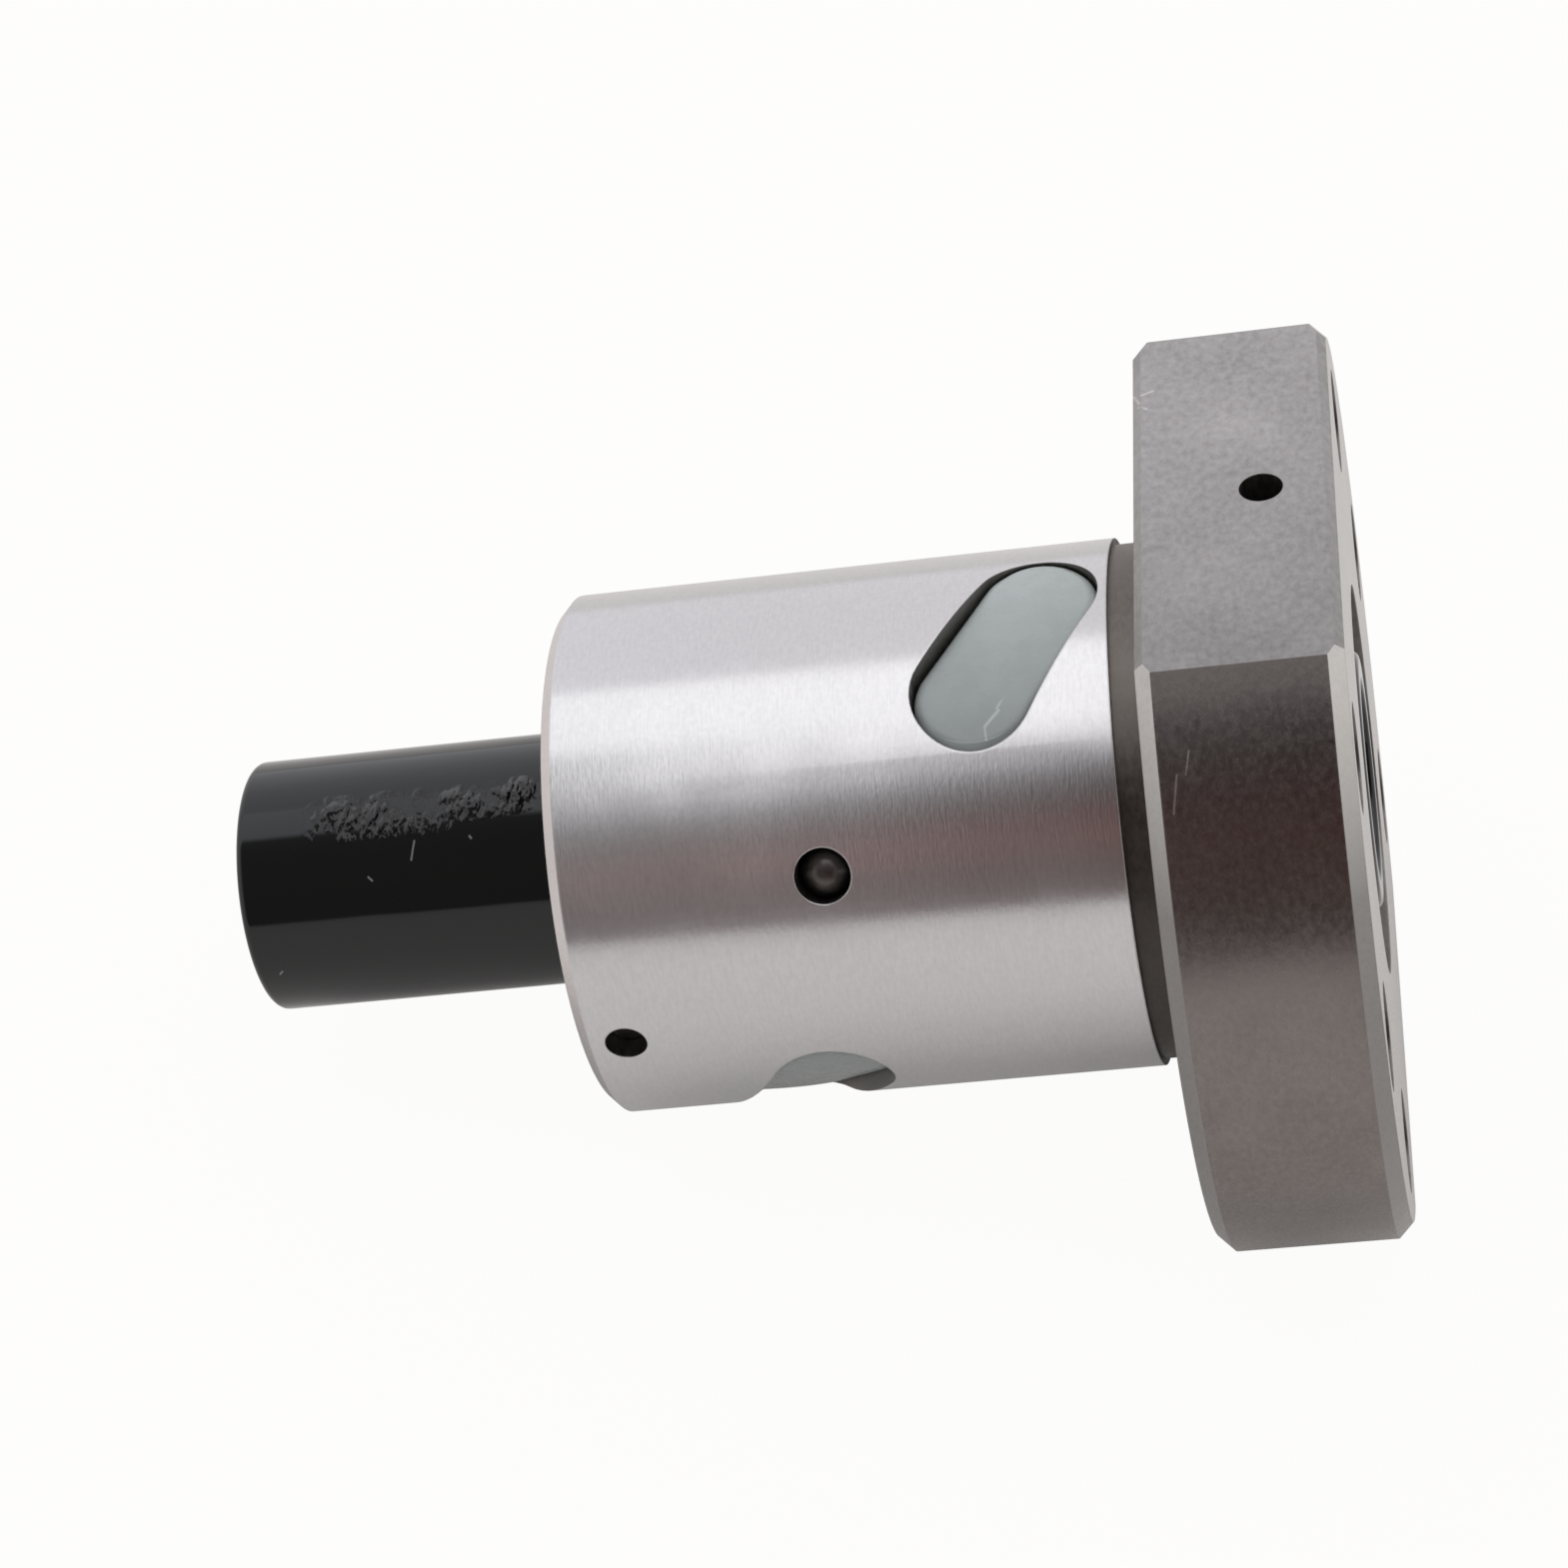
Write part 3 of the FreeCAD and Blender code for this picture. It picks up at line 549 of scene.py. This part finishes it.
class BALLNUT_OT_caps(bpy.types.Operator):
    """The three return caps, each with its moulded face"""

    bl_idname = "ballnut.caps"
    bl_label = "Return caps"

    count: IntProperty(name="Caps", description="Closed rings of balls in the nut", default=3,
                       min=1)
    first_station: FloatProperty(name="First cap", description="Station of the first cap",
                                 unit="LENGTH", default=-0.0074)
    first_turn: angle("First turn", 8.3, "Place of the first cap round the axis")
    step: angle("Step", 480, "Turn of the track from one cap to the next")
    lead: length("Lead", 0.005, "Travel of the track in a turn")
    lean: angle("Lean", 61.15, "Turn of a cap's long side from the axis")

    # Inset and height of the rings that carry a face's edge down into its cap, and the share of
    # the half width at which the innermost ring lies
    SKIRT_INSET = [0.00002, 0.0]
    SKIRT_HEIGHT = [-0.0012, -0.0009]
    INNERMOST = 0.97

    SCRATCHES = [
        ((-0.00706, -0.00436, 0.01276), (-0.00786, -0.00580, 0.01237), 0.00009),
        ((-0.00776, -0.00590, 0.01235), (-0.00848, -0.00672, 0.01209), 0.00013),
        ((-0.00850, -0.00670, 0.01209), (-0.00843, -0.00745, 0.01178), 0.00009),
    ]

    def execute(self, context):
        sizes, shades = context.scene.nut_sizes, context.scene.nut_colours
        finish = plastic("cap_plastic", shades.cap, roughness=0.27, grain=700, relief=0.000012,
                         mottle=0.04)
        # Painted shade and light: the caps are made darker towards -Y and lighter towards +Y of the
        # nut's frame
        finish.across("Y", -0.0070, 0.0020, first=0.76, last=1.36)
        finish.mark(finish.scratches(self.SCRATCHES), shades.cap_scratch)
        points, faces = self.face(sizes)
        for number in range(1, self.count + 1):
            dress(f"return_cap_{number}", f"cap_{number}", "cap_plastic", [finish])
            back = (number - 1) * self.step
            out, along, around = outward(self.first_turn - back)
            long_side = along * math.cos(self.lean) + around * math.sin(self.lean)
            short_side = around * math.cos(self.lean) - along * math.sin(self.lean)
            placed = points @ np.stack([long_side, short_side, out])
            placed[:, 0] += self.first_station - back / (2 * math.pi) * self.lead
            piece = mesh_object(f"cap_face_{number}", row_frame(placed), faces, [finish])
            settle(piece, "nut", "cap_plastic")
        return {"FINISHED"}

    def face(self, sizes, steps=72, bends=7, rings=7):
        """Domed obround: a point of the outline at t is the nearer end's centre plus (cos t, sin t)
        times half the width less an inset. The rounded edge goes up a quarter circle as the inset
        grows, and inside it the height rises by a parabola to the middle. The whole falls away by
        the square of the distance round the nut over twice the dome's radius. A skirt goes down
        into the cap, and one flat face closes the middle."""
        half = sizes.cap_width / 2
        edge = sizes.cap_edge
        centre = (sizes.cap_length - sizes.cap_width) / 2
        bend = np.linspace(0.0, np.pi / 2, bends)
        middle = np.linspace(edge, half * self.INNERMOST, rings + 1)[1:]
        inset = np.concatenate([edge * (1 - np.cos(bend)), middle])
        height = np.concatenate([edge * (np.sin(bend) - 1), np.zeros(rings)])
        inward = np.clip((inset - edge) / (half - edge), 0, 1)
        height += sizes.cap_crown * (1 - (1 - inward) ** 2)
        inset = np.concatenate([self.SKIRT_INSET, inset])
        height = np.concatenate([self.SKIRT_HEIGHT, height])
        t = (np.arange(steps) + 0.5) / steps * 2 * np.pi
        reach = (half - inset)[:, None]
        x = np.sign(np.cos(t)) * centre + reach * np.cos(t)
        y = reach * np.sin(t)
        round_nut = x * math.sin(self.lean) + y * math.cos(self.lean)
        z = sizes.cap_top + height[:, None] - round_nut ** 2 / (2 * sizes.cap_dome)
        last = (len(inset) - 1) * steps
        faces = grid_faces(len(inset), steps).tolist() + [list(range(last, last + steps))]
        return np.stack([x, y, z], axis=-1).reshape(-1, 3), faces


class BALLNUT_OT_wipers(bpy.types.Operator):
    """The two wipers and the grub screws that hold them"""

    bl_idname = "ballnut.wipers"
    bl_label = "Wipers and grub screws"

    def execute(self, context):
        shades = context.scene.nut_colours
        ring = plastic("wiper_plastic", shades.wiper, roughness=0.5, grain=2500, relief=0.00001,
                       mottle=0.1)
        screw = steel("oxide_screw", shades.screw, roughness=0.4, grain=6000, relief=0.00001,
                      mottle=0.2)
        for end in ("flange_end", "free_end"):
            dress("wiper_" + end, "wiper_ring_" + end, "wiper_plastic", [ring])
            dress("grub_screw_" + end, "grub_" + end, "grub_steel", [screw])
        return {"FINISHED"}


class BALLNUT_OT_sleeve(bpy.types.Operator):
    """The black plastic sleeve in the screw's place"""

    bl_idname = "ballnut.sleeve"
    bl_label = "Transport sleeve"

    CRUMPLED = [
        ((-0.0450, -0.0023, 0.00640), (-0.0390, -0.0023, 0.00640), 0.0015),
        ((-0.0390, -0.0022, 0.00643), (-0.0343, -0.0019, 0.00653), 0.0012),
    ]
    SCRATCHES = [
        ((-0.040065, -0.003818, 0.005627), (-0.040282, -0.004601, 0.005007), 0.00007),
        ((-0.04270, -0.00508, 0.00452), (-0.04250, -0.00522, 0.00436), 0.00007),
        ((-0.03705, -0.00384, 0.00561), (-0.03697, -0.00394, 0.00554), 0.00008),
        ((-0.04860, -0.00679, -0.00030), (-0.04842, -0.00680, -0.00010), 0.00007),
    ]

    def execute(self, context):
        sizes = context.scene.nut_sizes
        near, far = sizes.flange_thick, sizes.flange_thick - sizes.sleeve_length
        lip, outer, inner = sizes.sleeve_lip, sizes.sleeve_radius, sizes.sleeve_bore
        # The bore's edges are rounded less than the outer ones
        small = lip * 0.6
        profile = np.concatenate([
            quarter((near - lip, outer - lip), lip, 0),
            quarter((far + lip, outer - lip), lip, 90),
            quarter((far + small, inner + small), small, 180),
            quarter((near - small, inner + small), small, 270),
        ])
        points, faces = turned(profile, 192)
        finish = self.finish(context.scene.nut_colours)
        piece = mesh_object("sleeve_tube", row_frame(points), faces, [finish], sharp=35.0)
        settle(piece, "sleeve", "sleeve_plastic", "transport_sleeve")
        return {"FINISHED"}

    def finish(self, shades):
        """Glossy black with long drawing waves, a crumpled patch near the top and a few
        scratches."""
        finish = Finish("sleeve_plastic", shades.sleeve, 0.0, 0.09)
        waves = finish.noise(260, (0.35, 1.0, 1.0), 2.0)
        fine = finish.noise(1400, (1.4, 0.8, 0.8), 1.6, 0.5)
        crumple = finish.spread(fine, 0.0, 1.0, 0.38, 0.62)
        patchy = finish.spread(finish.noise(420, detail=2.0), 0.15, 1.0, 0.42, 0.58)
        dents = finish.maths("MULTIPLY", crumple, patchy)
        rough = finish.maths("MULTIPLY", dents, finish.scratches(self.CRUMPLED))
        finish.set("Roughness", finish.spread(rough, 0.06, 0.09))
        finish.bump(finish.maths("MULTIPLY_ADD", waves, 0.13, rough), 0.0003)
        finish.mark(finish.scratches(self.SCRATCHES), shades.sleeve_scratch)
        return finish


class BALLNUT_OT_balls(bpy.types.Operator):
    """The three rings of balls and the ball that plugs the hole in the barrel"""

    bl_idname = "ballnut.balls"
    bl_label = "Balls"

    def execute(self, context):
        shades = context.scene.nut_colours
        polished = steel("ball_steel", shades.ball, roughness=0.10, grain=3000, relief=0.000001,
                         mottle=0.04, soft_edge=0.0)
        # Painted shade: the plug ball's dark colour stands for the shade of its hole
        dark = steel("plug_steel", shades.plug, roughness=0.34, grain=3000, relief=0.000004,
                     mottle=0.15, soft_edge=0.0)
        groups = {}
        for node in sorted(frame["nodes"]):
            if "ball" in node:
                groups.setdefault(node.split("_ball")[0], []).append(node)
        for group, nodes in groups.items():
            boxes = [np.array(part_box(node)) for node in nodes]
            radius = min((box[1] - box[0]).max() for box in boxes) / 2
            points, faces = spheres([box.mean(axis=0) for box in boxes], radius)
            finish = dark if group == "plug" else polished
            piece = mesh_object(f"{group}_balls", points, faces, [finish])
            settle(piece, "nut", "ball_steel", *nodes)
        return {"FINISHED"}


class BALLNUT_OT_stage(bpy.types.Operator):
    """Pale floor, soft lamp, surroundings and the camera at the photograph's angle"""

    bl_idname = "ballnut.stage"
    bl_label = "Stage and camera"

    # Shares of plain white over the floor's paper, for the camera and in reflections
    WHITE_TO_CAMERA = 0.96
    WHITE_IN_GLOSS = 0.12

    # Where ROOM's columns give way to each other along the nut's axis, and where the walls at the
    # axis's ends begin, as parts of a direction's length
    FIRST_CHANGE = (-0.26, -0.20)
    SECOND_CHANGE = (-0.17, -0.11)
    ENDS = (0.55, 0.85)
    END_WALLS = (0.92, 0.91, 0.90)
    PLAIN_LIGHT = (0.62, 0.62, 0.63)

    # Degrees from straight up towards the front, then the colour that is reflected from there past
    # the sleeve, past the middle of the barrel, and past the flange
    ROOM = [
        (-180, (0.80, 0.79, 0.82), (0.80, 0.78, 0.81), (0.80, 0.78, 0.81)),
        (-95, (0.96, 0.97, 1.02), (0.90, 0.88, 0.92), (0.90, 0.88, 0.91)),
        (-31, (1.00, 1.02, 1.07), (0.91, 0.89, 0.93), (0.90, 0.88, 0.91)),
        (-27, (1.25, 1.28, 1.34), (1.35, 1.35, 1.37), (1.35, 1.35, 1.37)),
        (1, (1.15, 1.18, 1.24), (1.36, 1.36, 1.37), (1.35, 1.35, 1.37)),
        (6, (0.22, 0.22, 0.23), (1.36, 1.36, 1.37), (1.38, 1.38, 1.39)),
        (15, (0.18, 0.18, 0.18), (1.36, 1.36, 1.38), (1.22, 1.21, 1.24)),
        (22, (0.17, 0.17, 0.17), (1.28, 1.28, 1.31), (0.62, 0.61, 0.63)),
        (30, (0.16, 0.16, 0.16), (1.02, 1.01, 1.04), (0.13, 0.12, 0.13)),
        (40, (0.16, 0.16, 0.16), (0.54, 0.53, 0.54), (0.06, 0.045, 0.045)),
        (50, (0.16, 0.16, 0.16), (0.40, 0.35, 0.35), (0.10, 0.05, 0.045)),
        (60, (0.16, 0.16, 0.15), (0.42, 0.33, 0.32), (0.15, 0.08, 0.075)),
        (75, (0.16, 0.15, 0.15), (0.31, 0.26, 0.26), (0.14, 0.11, 0.10)),
        (89, (0.16, 0.15, 0.15), (0.28, 0.24, 0.24), (0.17, 0.14, 0.14)),
        (91, (0.85, 0.83, 0.82), (0.95, 0.92, 0.91), (0.80, 0.77, 0.75)),
        (180, (0.62, 0.60, 0.60), (0.62, 0.60, 0.60), (0.50, 0.48, 0.47)),
    ]

    def execute(self, context):
        studio = context.scene.nut_studio
        self.floor(studio)
        self.surroundings()
        self.lamp(studio)
        self.camera(studio)
        context.scene.view_settings.view_transform = "Standard"
        return {"FINISHED"}

    def floor(self, studio):
        """Pale paper that the camera sees nearly as plain white, and that keeps its shadow."""
        finish = Finish("floor_paper", studio.floor_paper, 0.0, 0.9)
        ray = finish.add("LightPath").outputs
        white = finish.add("Emission", {"Color": (1.0, 0.995, 0.99), "Strength": 1.0})
        share = finish.maths("MULTIPLY", ray["Is Glossy Ray"], self.WHITE_IN_GLOSS)
        share = finish.maths("MULTIPLY_ADD", ray["Is Camera Ray"], self.WHITE_TO_CAMERA, share)
        seen = finish.add("MixShader", (share, finish.shader.outputs[0], white.outputs[0]))
        finish.feed(finish.tree.nodes["Material Output"].inputs["Surface"], seen.outputs[0])
        half, low = studio.floor_half, CAD_LOW.z
        corners = [(-half, -half, low), (half, -half, low), (half, half, low), (-half, half, low)]
        mesh_object("floor", corners, [(0, 1, 2, 3)], [finish])

    def surroundings(self):
        """Light by direction: glossy rays see a bright ceiling, a greyer wall behind, a dark wall
        in front and pale walls at the ends of the axis, other rays an even light, and the camera
        white. What is in front changes along the axis by ROOM's columns."""
        world = bpy.data.worlds.new("room")
        bpy.context.scene.world = world
        world.use_nodes = True
        room = Nodes(world.node_tree)
        direction = room.add("TexCoord").outputs["Generated"]
        split = room.add("SeparateXYZ", (direction,)).outputs
        front = room.maths("MULTIPLY", split["Y"], -1.0)
        turn = room.maths("ARCTAN2", front, split["Z"])
        turn = room.maths("MULTIPLY_ADD", turn, 1 / (2 * math.pi), 0.5)
        along = room.vectors("DOT_PRODUCT", direction, tuple(SLIDE_AXIS)).outputs["Value"]
        first, second, third = (self.column(room, turn, number) for number in range(3))
        seen = room.blend(room.spread(along, 0.0, 1.0, *self.FIRST_CHANGE), first, second)
        seen = room.blend(room.spread(along, 0.0, 1.0, *self.SECOND_CHANGE), seen, third)
        ends = room.spread(room.maths("ABSOLUTE", along), 0.0, 1.0, *self.ENDS)
        seen = room.blend(ends, seen, self.END_WALLS)
        ray = room.add("LightPath").outputs
        seen = room.blend(ray["Is Glossy Ray"], self.PLAIN_LIGHT, seen)
        seen = room.blend(ray["Is Camera Ray"], seen, (1.0, 1.0, 1.0))
        room.feed(room.tree.nodes["Background"].inputs["Color"], seen)

    def column(self, room, turn, number):
        """One of ROOM's columns, as colours round the axis."""
        node = room.add("ValToRGB", (turn,))
        elements = node.color_ramp.elements
        while len(elements) < len(self.ROOM):
            elements.new(0.5)
        for element, (degrees, *seen) in zip(elements, self.ROOM):
            element.position = degrees / 360 + 0.5
            element.color = (*seen[number], 1.0)
        return node.outputs[0]

    def lamp(self, studio):
        data = bpy.data.lights.new("soft_lamp", "AREA")
        data.shape = "DISK"
        data.size = studio.lamp_width
        data.energy = studio.lamp_power
        lamp = self.point("soft_lamp", data, studio.lamp_place, (0.0, 0.0, 0.0), 0.0)
        lamp.visible_glossy = False

    def camera(self, studio):
        data = bpy.data.cameras.new("photo_camera")
        data.sensor_fit = "HORIZONTAL"
        data.angle = studio.camera_view
        data.clip_start = 0.01
        bpy.context.scene.camera = self.point("photo_camera", data, studio.camera_place,
                                              studio.camera_aim, studio.camera_roll)

    def point(self, name, data, stand, aim, roll):
        """An object that stands at a place with its -Z to the aim and its Y as far up as it goes,
        then rolled."""
        line = np.array(aim, float) - np.array(stand, float)
        line /= np.linalg.norm(line)
        right = np.cross(line, (0.0, 0.0, 1.0))
        right /= np.linalg.norm(right)
        up = np.cross(right, line)
        matrix = np.eye(4)
        matrix[:3, 0] = right * math.cos(roll) + up * math.sin(roll)
        matrix[:3, 1] = up * math.cos(roll) - right * math.sin(roll)
        matrix[:3, 2] = -line
        matrix[:3, 3] = stand
        thing = bpy.data.objects.new(name, data)
        bpy.context.scene.collection.objects.link(thing)
        thing.matrix_world = Matrix(matrix.tolist())
        return thing


OPERATORS = (BALLNUT_OT_stage, BALLNUT_OT_body, BALLNUT_OT_caps, BALLNUT_OT_wipers,
             BALLNUT_OT_sleeve, BALLNUT_OT_balls)


class BALLNUT_PT_panel(bpy.types.Panel):
    """Lists the pieces of the ball nut and its stage"""

    bl_idname = "BALLNUT_PT_panel"
    bl_label = "Ball nut"
    bl_space_type = "VIEW_3D"
    bl_region_type = "UI"
    bl_category = "Ball nut"

    def draw(self, context):
        for operator in OPERATORS:
            self.layout.operator(operator.bl_idname)
        scene = context.scene
        for group in (scene.nut_sizes, scene.nut_colours, scene.nut_studio):
            box = self.layout.box()
            for name in group.__annotations__:
                box.prop(group, name)


CLASSES = (NutSizes, NutColours, Studio, *OPERATORS, BALLNUT_PT_panel)


def register():
    for item in CLASSES:
        bpy.utils.register_class(item)
    bpy.types.Scene.nut_sizes = PointerProperty(type=NutSizes)
    bpy.types.Scene.nut_colours = PointerProperty(type=NutColours)
    bpy.types.Scene.nut_studio = PointerProperty(type=Studio)


def unregister():
    del bpy.types.Scene.nut_studio
    del bpy.types.Scene.nut_colours
    del bpy.types.Scene.nut_sizes
    for item in reversed(CLASSES):
        bpy.utils.unregister_class(item)


def main():
    register()
    bpy.ops.ballnut.stage()
    bpy.ops.ballnut.body()
    bpy.ops.ballnut.caps()
    bpy.ops.ballnut.wipers()
    bpy.ops.ballnut.sleeve()
    bpy.ops.ballnut.balls()


if __name__ == "__main__":
    main()
